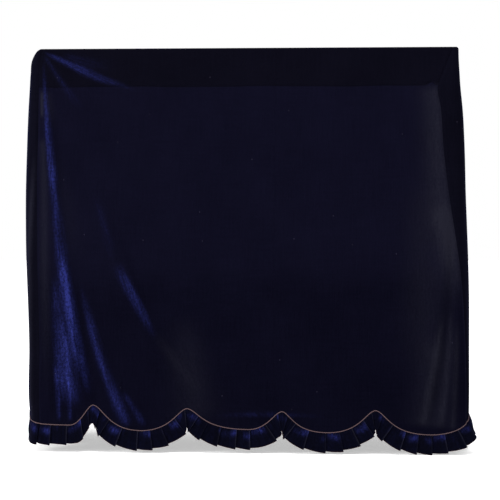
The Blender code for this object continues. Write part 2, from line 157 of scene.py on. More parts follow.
# The folds that the solids have
FOLDS = (
    Fold((-0.712, -0.014), (-0.590, -0.082), (-0.402, -0.150), 0.010, 0.026, 0.009, 0.25, 0.5),
    Fold((-0.707, -0.031), (-0.609, -0.163), (-0.500, -0.330), 0.010, 0.030, 0.005, 0.2, 0.6),
    Fold((-0.712, -0.030), (-0.640, -0.600), (-0.545, -1.215), 0.012, 0.044, 0.020, 0.25, 0.1),
    Fold((-0.660, -0.150), (-0.585, -0.720), (-0.470, -1.270), 0.020, 0.022, -0.007, 0.4, 0.2),
    Fold((-0.530, -0.780), (-0.465, -1.077), (-0.362, -1.290), 0.020, 0.026, 0.009, 0.4, 0.15),
    Fold((-0.506, -0.430), (-0.400, -0.800), (-0.200, -1.215), 0.024, 0.034, 0.011, 0.5, 0.5),
    Fold((-0.440, -0.520), (-0.350, -0.820), (-0.150, -1.180), 0.030, 0.040, -0.005, 0.5, 0.6),
    Fold((-0.185, -0.780), (-0.170, -1.000), (-0.130, -1.290), 0.060, 0.070, 0.005, 0.5, 0.3),
    Fold((-0.060, -1.245), (0.110, -1.238), (0.290, -1.245), 0.022, 0.022, 0.004, 0.4, 0.4),
    Fold((0.668, -0.200), (0.662, -0.760), (0.580, -1.270), 0.030, 0.030, 0.010, 0.5, 0.1),
    Fold((0.690, -0.420), (0.682, -0.860), (0.618, -1.280), 0.018, 0.018, -0.006, 0.5, 0.1),
    Fold((0.700, -0.480), (0.702, -0.900), (0.662, -1.290), 0.018, 0.020, 0.008, 0.5, 0.1),
    Fold((-0.704, -0.420), (-0.700, -0.860), (-0.690, -1.270), 0.009, 0.011, -0.005, 0.3, 0.1),
    Fold((-0.724, -0.400), (-0.721, -0.860), (-0.712, -1.270), 0.010, 0.012, 0.005, 0.3, 0.1),
)

# Smaller creases and ripples that only the looks have
CREASES = (
    Fold((-0.700, -0.120), (-0.668, -0.420), (-0.640, -0.760), 0.007, 0.010, 0.0022, 0.3, 0.5),
    Fold((-0.650, -0.700), (-0.622, -0.960), (-0.600, -1.230), 0.009, 0.013, -0.0045, 0.3, 0.15),
    Fold((-0.600, -0.760), (-0.560, -1.000), (-0.530, -1.190), 0.008, 0.011, 0.0030, 0.4, 0.2),
    Fold((-0.672, -0.820), (-0.655, -1.050), (-0.650, -1.250), 0.009, 0.012, 0.0035, 0.4, 0.15),
    Fold((-0.572, -0.840), (-0.530, -1.060), (-0.462, -1.270), 0.010, 0.012, -0.0035, 0.4, 0.2),
    Fold((-0.505, -0.900), (-0.450, -1.120), (-0.392, -1.260), 0.008, 0.010, 0.0030, 0.4, 0.2),
    Fold((-0.430, -0.620), (-0.376, -0.790), (-0.320, -0.930), 0.009, 0.012, 0.0035, 0.4, 0.4),
    Fold((-0.395, -0.640), (-0.345, -0.800), (-0.300, -0.900), 0.010, 0.012, -0.0030, 0.4, 0.4),
    Fold((-0.300, -0.960), (-0.235, -1.120), (-0.185, -1.215), 0.014, 0.016, 0.0040, 0.4, 0.3),
    Fold((-0.690, -0.020), (-0.640, -0.070), (-0.600, -0.128), 0.005, 0.009, 0.0030, 0.3, 0.5),
    Fold((-0.695, -0.016), (-0.610, -0.055), (-0.520, -0.088), 0.005, 0.010, -0.0025, 0.3, 0.5),
    Fold((-0.700, -0.040), (-0.672, -0.150), (-0.640, -0.260), 0.005, 0.010, 0.0022, 0.3, 0.6),
    Fold((-0.375, -0.208), (-0.340, -0.200), (-0.300, -0.203), 0.004, 0.004, 0.0010, 0.4, 0.5),
    Fold((-0.365, -0.190), (-0.350, -0.205), (-0.330, -0.222), 0.004, 0.004, 0.0009, 0.4, 0.5),
    Fold((0.628, -1.180), (0.640, -1.240), (0.652, -1.292), 0.008, 0.010, 0.0035, 0.4, 0.1),
    Fold((0.560, -1.110), (0.580, -1.200), (0.566, -1.285), 0.012, 0.012, 0.0030, 0.5, 0.1),
    Fold((0.600, -0.980), (0.640, -1.140), (0.610, -1.290), 0.010, 0.012, -0.0030, 0.5, 0.1),
    Fold((0.690, -0.960), (0.694, -1.120), (0.688, -1.290), 0.008, 0.010, 0.0030, 0.5, 0.1),
    Fold((0.585, -0.128), (0.612, -0.122), (0.632, -0.128), 0.006, 0.006, 0.0035, 0.4, 0.4),
    Fold((-0.720, -0.150), (-0.712, -0.300), (-0.708, -0.420), 0.006, 0.006, -0.0025, 0.4, 0.4),
    Fold((-0.120, -1.256), (0.060, -1.250), (0.250, -1.258), 0.010, 0.010, 0.0022, 0.4, 0.4),
)


class Flute(NamedTuple):
    """A soft vertical fold of a side panel, deepest at the hem, by its distance behind the front corner."""

    behind: float
    width: float
    depth: float


FLUTES = {
    "left": (Flute(0.10, 0.050, 0.007), Flute(0.24, 0.065, -0.006), Flute(0.39, 0.055, 0.008)),
    "right": (Flute(0.08, 0.045, -0.005), Flute(0.20, 0.060, 0.009), Flute(0.36, 0.070, -0.006)),
}


class Flare(NamedTuple):
    """How far the frill tips outward, in degrees, and what share of its width it reaches at one girth."""

    at: float
    tip: float
    reach: float


FLARES = (
    Flare(-1.30, 6, 1.0), Flare(-0.85, 1, 1.06), Flare(-0.74, 1, 1.16), Flare(-0.67, 1, 1.06), Flare(-0.60, 6, 0.98),
    Flare(-0.54, 6, 1.0), Flare(-0.50, 6, 0.95), Flare(-0.46, 6, 1.0),
    Flare(0.60, 8, 1.0), Flare(0.76, 12, 0.94), Flare(0.95, 8, 1.0), Flare(1.34, 6, 1.0),
)


class Nap(NamedTuple):
    """A streak of painted sheen, through three places on the cloth as (girth, z).

    Its right flank's width is a share of its left flank's."""

    start: tuple
    middle: tuple
    end: tuple
    start_width: float
    end_width: float
    right_share: float
    strength: float
    fade_in: float
    fade_out: float


# Painted highlights: blue streaks of painted sheen where the folds and edges catch the light
BLUE_SHEEN_STREAKS = (
    Nap((-0.712, -0.010), (-0.620, -0.055), (-0.530, -0.098), 0.003, 0.011, 1.2, 0.54, 0.30, 0.35),
    Nap((-0.590, -0.070), (-0.490, -0.113), (-0.375, -0.150), 0.012, 0.005, 1.0, 0.34, 0.35, 0.60),
    Nap((-0.709, -0.020), (-0.632, -0.130), (-0.555, -0.225), 0.004, 0.013, 1.0, 0.11, 0.10, 0.60),
    Nap((-0.650, -0.010), (-0.560, -0.050), (-0.440, -0.070), 0.010, 0.024, 1.0, 0.06, 0.30, 0.60),
    Nap((-0.710, -0.020), (-0.681, -0.255), (-0.642, -0.496), 0.004, 0.009, 1.0, 0.66, 0.65, 0.15),
    Nap((-0.664, -0.380), (-0.630, -0.580), (-0.603, -0.780), 0.008, 0.014, 1.0, 0.36, 0.25, 0.25),
    Nap((-0.620, -0.640), (-0.571, -0.940), (-0.508, -1.190), 0.012, 0.012, 1.0, 0.90, 0.25, 0.45),
    Nap((-0.612, -0.700), (-0.588, -0.830), (-0.560, -0.980), 0.010, 0.012, 1.0, 0.55, 0.40, 0.40),
    Nap((-0.628, -0.760), (-0.614, -1.000), (-0.604, -1.230), 0.013, 0.017, 1.0, 0.32, 0.30, 0.25),
    Nap((-0.600, -0.900), (-0.582, -1.060), (-0.560, -1.230), 0.013, 0.020, 1.0, 0.46, 0.30, 0.25),
    Nap((-0.631, -1.060), (-0.620, -1.160), (-0.614, -1.270), 0.006, 0.005, 0.8, 0.30, 0.30, 0.10),
    Nap((-0.594, -1.080), (-0.582, -1.170), (-0.577, -1.270), 0.007, 0.006, 0.8, 0.28, 0.30, 0.10),
    Nap((-0.545, -0.800), (-0.474, -1.060), (-0.383, -1.288), 0.009, 0.015, 1.0, 0.38, 0.35, 0.10),
    Nap((-0.402, -1.165), (-0.370, -1.217), (-0.325, -1.285), 0.005, 0.010, 1.0, 0.26, 0.30, 0.20),
    Nap((-0.425, -0.730), (-0.360, -0.855), (-0.285, -1.000), 0.017, 0.010, 0.60, 0.44, 0.40, 0.40),
    Nap((-0.505, -0.496), (-0.465, -0.631), (-0.430, -0.740), 0.012, 0.012, 1.0, 0.05, 0.40, 0.30),
    Nap((-0.777, -0.050), (-0.780, -0.450), (-0.757, -0.870), 0.014, 0.014, 1.0, 0.34, 0.10, 0.30),
    Nap((-0.760, -0.800), (-0.748, -1.050), (-0.738, -1.260), 0.012, 0.010, 1.0, 0.16, 0.40, 0.20),
    Nap((-0.100, -1.246), (0.070, -1.241), (0.290, -1.247), 0.006, 0.006, 1.0, 0.10, 0.40, 0.40),
)

# Painted reflections: grey hazes of painted sheen on the cloth
GREY_SHEEN_STREAKS = (
    Nap((-0.706, -0.145), (-0.703, -0.200), (-0.699, -0.250), 0.006, 0.004, 1.0, 0.80, 0.20, 0.20),
    Nap((-0.690, -0.150), (-0.680, -0.210), (-0.665, -0.300), 0.014, 0.018, 1.0, 0.24, 0.20, 0.50),
    Nap((-0.694, -0.310), (-0.668, -0.690), (-0.656, -1.280), 0.013, 0.019, 0.9, 0.44, 0.06, 0.50),
    Nap((-0.722, -0.340), (-0.722, -0.860), (-0.720, -1.275), 0.010, 0.010, 0.9, 0.70, 0.20, 0.05),
    Nap((-0.655, -0.340), (-0.600, -0.560), (-0.560, -0.760), 0.024, 0.040, 1.0, 0.10, 0.40, 0.40),
    Nap((-0.205, -0.900), (-0.180, -1.040), (-0.140, -1.300), 0.050, 0.075, 0.8, 0.28, 0.60, 0.15),
    Nap((-0.300, -0.960), (-0.230, -1.060), (-0.130, -1.190), 0.014, 0.024, 0.8, 0.18, 0.40, 0.40),
    Nap((0.642, -0.120), (0.652, -0.360), (0.662, -0.640), 0.045, 0.052, 1.0, 0.62, 0.10, 0.25),
    Nap((0.648, -0.520), (0.684, -0.700), (0.694, -0.930), 0.040, 0.036, 1.0, 1.20, 0.25, 0.70),
    Nap((0.590, -0.420), (0.600, -0.780), (0.590, -1.150), 0.050, 0.070, 1.0, 0.26, 0.30, 0.30),
    Nap((0.640, -0.950), (0.625, -1.120), (0.610, -1.290), 0.045, 0.065, 1.0, 0.34, 0.30, 0.08),
    Nap((0.684, -0.860), (0.676, -1.060), (0.650, -1.290), 0.010, 0.013, 0.8, 0.46, 0.30, 0.06),
    Nap((0.664, -0.880), (0.630, -1.080), (0.590, -1.280), 0.010, 0.015, 0.8, 0.52, 0.30, 0.06),
    Nap((0.704, -0.900), (0.700, -1.100), (0.690, -1.295), 0.008, 0.011, 0.8, 0.42, 0.30, 0.06),
)
KNEE_TONE = (-0.745, -0.835)  # painted light: between these depths the front turns darker, from its painted lighter slope above the knee
KNEE_LIGHT = 0.32




def smooth_read(at, places, values):
    """Values between a table's rows, on a smooth curve through them."""
    places, values = np.array(places), np.array(values)
    slopes = np.gradient(values, places)
    at = np.clip(at, places[0], places[-1])
    i = np.clip(np.searchsorted(places, at) - 1, 0, len(places) - 2)
    step = places[i + 1] - places[i]
    t = (at - places[i]) / step
    rise = (1 + 2 * t) * (1 - t) ** 2 * values[i] + t**2 * (3 - 2 * t) * values[i + 1]
    return rise + step * t * (1 - t) * ((1 - t) * slopes[i] - t * slopes[i + 1])


def level(column, z):
    """One column of LEVELS at some depths."""
    return smooth_read(-np.asarray(z, float), [-row.z for row in LEVELS], [getattr(row, column) for row in LEVELS])


def edge_bend(z):
    """How far inside the top's outline the bend over its edge lies at some depths."""
    inside = np.sqrt(np.maximum(0.0, EDGE_BEND**2 - (EDGE_BEND + z) ** 2)) - EDGE_BEND
    return np.where(z <= -EDGE_BEND, 0.0, inside)


def front_line(z):
    """How far in front of the middle the front hangs at some depths."""
    share = np.maximum(0.0, -z / KNEE_DROP)
    ramp = 1 - KNEE_SOFTNESS * np.logaddexp(0, (1 - share) / KNEE_SOFTNESS)
    return TOP_DEPTH / 2 + edge_bend(z) + KNEE_REACH * ramp


class Plan:
    """One side of the cover's horizontal outline at some depths."""

    def __init__(self, side, z):
        z = np.asarray(z, float)
        name = "left" if side < 0 else "right"
        bend = edge_bend(z)
        self.half_width = TOP_WIDTH / 2 + bend + level(f"{name}_out", z)
        self.back_width = TOP_WIDTH / 2 + bend
        self.front = front_line(z)
        self.back = TOP_DEPTH / 2 + bend
        self.front_round = level(f"{name}_round", z) + bend
        self.back_round = TOP_CORNER + bend
        self.corner_at = self.half_width - self.front_round
        self.side_at = self.corner_at + self.front_round * math.pi / 2
        self.back_corner_at = self.side_at + self.front - self.front_round + self.back - self.back_round
        self.back_at = self.back_corner_at + self.back_round * math.pi / 2


def on_plan(side, z, girth):
    """Places and outward directions at distances from the front's middle, as (x, y, normal x, normal y)."""
    shape = Plan(side, z)
    turn = np.clip((girth - shape.corner_at) / shape.front_round, 0, math.pi / 2)
    share = np.clip((girth - shape.side_at) / (shape.back_corner_at - shape.side_at), 0, 1)
    back_turn = np.clip((girth - shape.back_corner_at) / shape.back_round, 0, math.pi / 2)
    past = np.maximum(0.0, girth - shape.back_at)
    x = np.minimum(girth, shape.corner_at) + shape.front_round * np.sin(turn)
    x = x + (shape.back_width - shape.half_width) * share
    x = x - shape.back_round * (1 - np.cos(back_turn)) - past
    y = shape.front_round * (1 - np.cos(turn)) - shape.front
    y = y + (shape.back_corner_at - shape.side_at) * share + shape.back_round * np.sin(back_turn)
    facing = turn + back_turn
    return side * x, y, side * np.sin(facing), -np.cos(facing)


def streak(row, strength, girth, z):
    """How strongly a fold, crease or streak shows at some places, from their distance to its curved line."""
    start, middle, end = (np.array(p) for p in (row.start, row.middle, row.end))
    pull = 2 * middle - (start + end) / 2
    t = np.linspace(0, 1, FOLD_LEGS + 1)[:, None]
    line = (1 - t) ** 2 * start + 2 * t * (1 - t) * pull + t**2 * end
    margin = 3.3 * max(row.start_width, row.end_width)
    low, high = line.min(0) - margin, line.max(0) + margin
    found = np.zeros(girth.shape)
    close = np.nonzero((girth > low[0]) & (girth < high[0]) & (z > low[1]) & (z < high[1]))[0]
    if not len(close):
        return found
    legs = np.diff(line, axis=0)
    reach = np.stack([girth[close], z[close]], 1)[:, None, :] - line[None, :-1, :]
    along = np.clip((reach * legs).sum(2) / (legs**2).sum(1), 0, 1)
    away = np.linalg.norm(reach - along[:, :, None] * legs, axis=2)
    near = away.argmin(1)
    each = np.arange(len(near))
    share = (near + along[each, near]) / FOLD_LEGS
    width = row.start_width + (row.end_width - row.start_width) * share
    rise = np.minimum(1.0, share / row.fade_in) * np.minimum(1.0, (1 - share) / row.fade_out)
    if strength == "strength":
        rise = rise * rise * (3 - 2 * rise)
        leg, off = legs[near], reach[each, near]
        rightward = leg[:, 0] * off[:, 1] - leg[:, 1] * off[:, 0] > 0
        width = width * np.where(rightward, row.right_share, 1.0)
    found[close] = getattr(row, strength) * rise * np.exp(-((away[each, near] / width) ** 2))
    return found


def flute_height(side, z, girth):
    """The side panels' soft folds, which grow from the top to the hem."""
    behind = girth - Plan(side, z).side_at
    rows = FLUTES["left" if side < 0 else "right"]
    waves = sum(f.depth * np.exp(-(((behind - f.behind) / f.width) ** 2)) for f in rows)
    return np.where(behind > 0, waves * np.minimum(1.0, -z / 1.2), 0.0)


def skin(side, girth, z, creases=True):
    """The cover's outer surface at some places, as (places, outward directions)."""
    girth, z = np.broadcast_arrays(np.asarray(girth, float), np.asarray(z, float))
    shape = girth.shape
    girth, z = girth.ravel(), z.ravel()
    x, y, normal_x, normal_y = on_plan(side, z, abs(girth))
    lift = flute_height(side, z, abs(girth))
    rows = FOLDS + (CREASES if creases else ())
    folds = sum(streak(row, "height", girth, z) for row in rows)
    lift = lift + folds * np.minimum(1.0, -z / 0.02) * (abs(girth) < Plan(side, z).side_at + 0.05)
    if creases:
        lift = lift + seam_dip(side, abs(girth), z)
    places = np.stack([x + normal_x * lift, y + normal_y * lift, z + CLOTH], 1)
    normals = np.stack([normal_x, normal_y, 0 * x], 1)
    return places.reshape(*shape, 3), normals.reshape(*shape, 3)


def seam_dip(side, girth, z):
    """The dip along the front seam and the top's seam, and the slight puff beside each."""
    from_side = abs(girth - seam_at(side, z))
    from_top = np.where(girth < seam_at(side, z), abs(z - top_seam(side * girth)), 1.0)
    away = np.minimum(from_side, from_top)
    return 0.0009 * np.exp(-(((away - 0.010) / 0.006) ** 2)) - 0.0016 * np.exp(-((away / 0.0035) ** 2))


def top_seam(girth):
    """The depth of the seam between the top panel and the front, which rises in a small ear near its right end."""
    waves = 0.0011 * np.sin(girth * 13.0 + 0.7) + 0.0007 * np.sin(girth * 31.0)
    return waves - TOP_FALL + 0.012 * np.exp(-(((girth - 0.630) / 0.011) ** 2))


def skin_both(girth, z, creases=True):
    """The same across the front's middle, where the two sides meet."""
    girth, z = np.broadcast_arrays(np.asarray(girth, float), np.asarray(z, float))
    left, right = skin(-1, np.minimum(girth, 0), z, creases), skin(1, np.maximum(girth, 0), z, creases)
    leftward = (girth < 0)[..., None]
    return np.where(leftward, left[0], right[0]), np.where(leftward, left[1], right[1])


def seam_at(side, z):
    """The girth of the front seam at some depths."""
    shape = Plan(side, z)
    inset = level("left_seam" if side < 0 else "right_seam", z) + edge_bend(np.asarray(z, float))
    turned = shape.corner_at + shape.front_round * np.arcsin(np.clip(1 - inset / shape.front_round, -1, 1))
    return np.where(inset >= shape.front_round, shape.half_width - inset, turned)


FINE_EDGE = (0.0, 0.0008, 0.0018, 0.0030, 0.0045, 0.0065, 0.0090, 0.0125, 0.0170)


def fine_ended(length, count):
    """Shares of a length, close together at both ends, where the seams dip."""
    edge = np.array(FINE_EDGE)
    inner = np.linspace(edge[-1], length - edge[-1], count - 2 * len(edge) + 2)
    return np.concatenate([edge[:-1], inner, length - edge[-2::-1]]) / length


def scallop(girth):
    """The lower seam's depth at some girths, its slope there, and how far the frill may turn there, as a sine."""
    girth = np.asarray(girth, float)
    peaks = np.array([row.peak_at for row in SCALLOPS])
    i = np.clip(np.searchsorted(peaks, girth, side="right") - 1, 0, len(SCALLOPS) - 2)
    table = {name: np.array([getattr(row, name) for row in SCALLOPS]) for name in Scallop._fields}
    pitch = peaks[i + 1] - peaks[i]
    share = np.clip((girth - peaks[i]) / pitch, 0, 1)
    low_at = table["low_at"][i]
    falling = share < low_at
    stretch = 0.5 / np.where(falling, low_at, 1 - low_at)
    roundness = np.where(falling, table["round_right"][i], table["round_left"][i + 1])
    turn = math.pi * np.where(falling, share * stretch, 1 - (1 - share) * stretch)
    wave = np.maximum(1e-9, np.sin(turn))
    rise = wave**SCALLOP_POWER
    peak_z = table["peak_z"][i] + (table["peak_z"][i + 1] - table["peak_z"][i]) * share
    sag = table["low_z"][i] - peak_z
    z = peak_z + sag * rise * (1 + roundness) / (rise + roundness)
    rise_slope = SCALLOP_POWER * wave ** (SCALLOP_POWER - 1) * np.cos(turn) * math.pi * stretch / pitch
    slope = sag * rise_slope * (1 + roundness) * roundness / (rise + roundness) ** 2
    from_left = table["closing_right"][i] * share
    from_right = table["closing_left"][i + 1] * (1 - share)
    return z, slope, np.where(share < 0.5, from_left, from_right) * pitch


def settled_hem(girth_at, lift):
    """Where each column meets its hem, as (girth, z). A column's girth depends on its depth."""
    z = HEM_Z
    for _ in range(5):
        girth = girth_at(z)
        depth, slope, _ = scallop(girth)
        z = depth + lift * np.hypot(1, slope)
    return girth_at(z), z


def cover_sizes():
    return bpy.context.scene.cover_sizes


def front_girth(share, z):
    gap = cover_sizes().seam_gap / 2
    left, right = gap - seam_at(-1, z), seam_at(1, z) - gap
    return left + (right - left) * share


def side_girth(side, share, z):
    """A side panel's girth by its share from the front seam to just round the back corner."""
    gap = cover_sizes().seam_gap / 2
    start, end = seam_at(side, z) + gap, Plan(side, z).back_at + SEAM_PAST_CORNER - gap
    return start + (end - start) * share


class Wire:
    """A shader socket whose arithmetic adds Math nodes."""

    def __init__(self, finish, socket):
        self.finish = finish
        self.socket = socket

    def math(self, operation, *values):
        return self.finish.node("ShaderNodeMath", {"operation": operation}, dict(enumerate(values)))

    def __add__(self, other):
        return self.math("ADD", self, other)

    def __radd__(self, other):
        return self.math("ADD", other, self)

    def __sub__(self, other):
        return self.math("SUBTRACT", self, other)

    def __rsub__(self, other):
        return self.math("SUBTRACT", other, self)

    def __mul__(self, other):
        return self.math("MULTIPLY", self, other)

    def __rmul__(self, other):
        return self.math("MULTIPLY", other, self)

    def __pow__(self, other):
        return self.math("POWER", self, other)

    def stretched(self, contrast):
        """A noise's value with more contrast, within 0 to 1."""
        return ((self - 0.5) * contrast + 0.5).clamped()

    def clamped(self):
        return self.math("MAXIMUM", self.math("MINIMUM", self, 1.0), 0.0)


class Finish:
    """A material under construction."""

    def __init__(self, name):
        self.material = bpy.data.materials.new(name)
        self.material.use_nodes = True
        self.tree = self.material.node_tree
        self.shader = self.tree.nodes["Principled BSDF"]

    def node(self, kind, settings=None, inputs=None, output=0):
        """Adds a node: its settings first, then the values or links of its sockets."""
        made = self.tree.nodes.new(kind)
        for name, value in (settings or {}).items():
            if name == "stops":
                ramp = made.color_ramp.elements
                while len(ramp) < len(value):
                    ramp.new(1.0)
                for stop, (place, colour) in zip(ramp, value):
                    stop.position, stop.color = place, colour
            else:
                setattr(made, name, value)
        for name, value in (inputs or {}).items():
            self.feed(made.inputs[name], value)
        return Wire(self, made.outputs[output])

    def feed(self, socket, value):
        if isinstance(value, Wire):
            self.tree.links.new(value.socket, socket)
        else:
            socket.default_value = value

    def set(self, **values):
        """Sets the shader's own sockets, which are named with an underscore for each space."""
        for name, value in values.items():
            self.feed(self.shader.inputs[name.replace("_", " ")], value)

    def mix(self, share, low, high):
        """A colour between two others."""
        settings = {"data_type": "RGBA"}
        return self.node("ShaderNodeMix", settings, {0: share, 6: low, 7: high}, output=2)

    def attribute(self, name):
        return self.node("ShaderNodeAttribute", {"attribute_name": name}, output="Fac")

    def noise(self, place, scale, detail=2.0, roughness=0.5):
        inputs = {"Vector": place, "Scale": scale, "Detail": detail, "Roughness": roughness}
        return self.node("ShaderNodeTexNoise", None, inputs)

    def combine(self, x, y):
        return self.node("ShaderNodeCombineXYZ", None, {"X": x, "Y": y, "Z": 0.0})

    def cloth_place(self, across, down):
        """The place on the cloth, by girth and depth, stretched by the two scales."""
        return self.combine(self.attribute("girth") * across, self.attribute("drop") * down)

    def object_place(self):
        return self.node("ShaderNodeTexCoord", None, None, output="Object")

    def bump(self, height, distance, strength=1.0, under=None):
        inputs = {"Height": height, "Distance": distance, "Strength": strength}
        if under is not None:
            inputs["Normal"] = under
        return self.node("ShaderNodeBump", None, inputs)


def times(colour, share):
    """A colour made darker or lighter."""
    return [min(1.0, part * share) for part in colour[:3]] + [1.0]


def velvet_finish(name, base, shine, haze, lint=True):
    """Velvet: a dark pile with painted blue sheen and painted grey sheen mixed into its base colour by its marks."""
    made = Finish(name)
    ray, reach = made.attribute("ray"), made.attribute("reach")
    fine_rays = made.noise(made.combine(ray * 150.0, reach * 16.0), 1.0, 3.0, 0.7).stretched(3.2)
    rays = made.noise(made.combine(ray * 46.0, reach * 5.0), 1.0, 2.0, 0.6).stretched(3.0)
    mottle = made.noise(made.cloth_place(150.0, 110.0), 1.0, 3.0, 0.75).stretched(3.0)
    broad = made.noise(made.cloth_place(5.0, 4.0), 1.0, 3.0, 0.55).stretched(2.2)
    across = made.noise(made.cloth_place(9.0, 330.0), 1.0, 2.0, 0.6)
    down = made.noise(made.cloth_place(330.0, 9.0), 1.0, 2.0, 0.6)
    threads = (across * 0.5 + down * 0.5).stretched(3.0)
    pile = made.noise(made.object_place(), 1100.0, 2.0, 0.7)
    uneven = (rays * 0.9 + 0.35) * (fine_rays * 0.8 + 0.45) * (mottle * 1.3 + 0.25)
    # Painted highlight: the blue sheen's share, from its mark, broken up by noise
    painted_blue_sheen = (made.attribute("shine") * uneven).clamped()
    # Painted reflection: the grey sheen's share, from its mark
    grey_sheen_share = (made.attribute("haze") * (fine_rays * 0.45 + mottle * 0.5 + 0.5)).clamped()
    # The pile's random tone, plus painted light above the front's knee
    tone_and_painted_light = broad * 0.35 + threads * 0.4 + mottle * 0.25 + made.attribute("lit")
    pile_and_painted_light_colour = made.mix((tone_and_painted_light * 0.57).clamped(), times(base, 0.6), times(base, 2.0))
    colour = made.mix(painted_blue_sheen, made.mix(grey_sheen_share, pile_and_painted_light_colour, haze), shine)
    if lint:
        across, down = made.attribute("girth") * 4.1, made.attribute("drop") * 3.3
        places = made.combine(across + mottle * 0.004, down + rays * 0.004)
        flecks = made.node("ShaderNodeTexVoronoi", {"voronoi_dimensions": "2D"}, {"Vector": places, "Scale": 1.0})
        colour = made.mix((1.0 - flecks * 190.0).clamped() * 0.5, colour, (0.10, 0.09, 0.15, 1.0))
    soft = made.bump(rays, 0.0006, 0.5)
    made.set(
        Base_Color=colour,
        Roughness=0.75,
        Specular_IOR_Level=0.0,
        Sheen_Weight=0.05,
        Sheen_Roughness=0.35,
        Sheen_Tint=(0.3, 0.32, 0.7, 1.0),
        Normal=made.bump(pile, 0.0006, 0.5, soft),
    )
    return made.material


def cord_finish(name, colour):
    """A twisted cord, with painted shade between its strands."""
    made = Finish(name)
    fibres = made.noise(made.object_place(), 1500.0, 2.0, 0.6)
    strand = made.attribute("strand")
    # Painted shade: darker between the strands, with fibre noise
    tone_and_painted_light = (strand * 0.7 + fibres * 0.6).clamped()
    made.set(
        Base_Color=made.mix(tone_and_painted_light, times(colour, 0.35), times(colour, 1.25)),
        Roughness=0.6,
        Specular_IOR_Level=0.1,
        Normal=made.bump(fibres, 0.0003, 0.7),
    )
    return made.material


def floor_finish(colour):
    made = Finish("pale_floor")
    made.set(Base_Color=colour, Roughness=0.9, Specular_IOR_Level=0.1, Emission_Color=colour, Emission_Strength=0.5)
    return made.material


def deselect_all():
    for chosen in list(bpy.context.selected_objects):
        chosen.select_set(False)


def grid_piece(name, columns, rows, places):
    """A grid primitive moved to places[row][column], with the rows from the top down. Its faces point outward."""
    deselect_all()
    bpy.ops.mesh.primitive_grid_add(x_subdivisions=columns - 1, y_subdivisions=rows - 1, size=2, location=(0, 0, 0))
    piece = bpy.context.object
    piece.name = piece.data.name = name
    raw = np.zeros(len(piece.data.vertices) * 3, np.float32)
    piece.data.vertices.foreach_get("co", raw)
    raw = raw.reshape(-1, 3)
    column = np.rint((raw[:, 0] + 1) / 2 * (columns - 1)).astype(int)
    row = np.rint((1 - raw[:, 1]) / 2 * (rows - 1)).astype(int)
    piece.data.vertices.foreach_set("co", places[row, column].astype(np.float32).ravel())
    piece.data.update()
    return piece, row, column


def mark(piece, name, values):
    """Keeps a number for each point of a piece, which its material reads."""
    made = piece.data.attributes.new(name, "FLOAT", "POINT")
    made.data.foreach_set("value", np.asarray(values, np.float32).ravel())


def thicken(piece, thickness, offset):
    """Gives a sheet its two faces and shades it smooth but for its sharp edges."""
    deselect_all()
    piece.select_set(True)
    bpy.context.view_layer.objects.active = piece
    cloth = piece.modifiers.new("cloth", "SOLIDIFY")
    cloth.thickness = thickness
    cloth.offset = offset
    bpy.ops.object.modifier_apply(modifier=cloth.name)
    bpy.ops.object.shade_smooth_by_angle(angle=math.radians(50))


FAN_CENTRE = (-0.716, 0.0)  # the left top corner, from which the folds spread
FAN_REACH = 0.1  # right of this girth the streaks run straight down


def velvet_sheet(name, node, girth, z, side, material, top=None):
    """One panel: a sheet on the cover's surface at a table of girths and depths, with its marks of painted sheen and
    painted light.
    """
    if side is None:
        places, _ = skin_both(girth, z)
    else:
        places, _ = skin(side, girth, z)
    if top is not None:
        places[: len(top)] = top
    rows, columns = girth.shape
    piece, row, column = grid_piece(name, columns, rows, places)
    flat_girth, flat_z = girth[row, column], z[row, column]
    mark(piece, "girth", flat_girth)
    mark(piece, "drop", flat_z)
    fan_x, fan_z = flat_girth - FAN_CENTRE[0], FAN_CENTRE[1] - flat_z
    mark(piece, "ray", np.where(flat_girth < FAN_REACH, np.arctan2(fan_x, np.maximum(fan_z, 1e-4)), flat_girth))
    mark(piece, "reach", np.where(flat_girth < FAN_REACH, np.hypot(fan_x, fan_z), -flat_z))
    # Painted highlight: blue sheen along the listed streaks
    mark(piece, "shine", sum(streak(s, "strength", flat_girth, flat_z) for s in BLUE_SHEEN_STREAKS))
    # Painted reflection: grey sheen along the listed streaks, not on the right side panel
    mark(piece, "haze", sum(streak(s, "strength", flat_girth, flat_z) for s in GREY_SHEEN_STREAKS) * (side != 1))
    # Painted light: the front and top are lighter above the knee
    above_knee = np.clip((flat_z - KNEE_TONE[1]) / (KNEE_TONE[0] - KNEE_TONE[1]), 0, 1)
    mark(piece, "lit", KNEE_LIGHT * above_knee * (side is None))
    piece.data.materials.append(material)
    thicken(piece, cover_sizes().cloth_thickness, -1)
    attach(piece, "root")
    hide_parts(node)
    return piece, places


def build_front():
    share, down = fine_ended(1.40, 232), fine_ended(1.16, 180)[:, None]
    _, hem = settled_hem(lambda z: front_girth(share, z), SEWN_IN * cover_sizes().piping_radius)
    top = top_seam(front_girth(share, -TOP_FALL)) - cover_sizes().seam_gap / 2
    z = top + (hem - top) * down
    girth = front_girth(share[None, :], z)
    colours = bpy.context.scene.cover_colours
    cloth = velvet_finish("front_velvet", colours.velvet, colours.painted_blue_sheen, colours.haze)
    piece, places = velvet_sheet("front_cloth", "front_panel", girth, z, None, cloth)


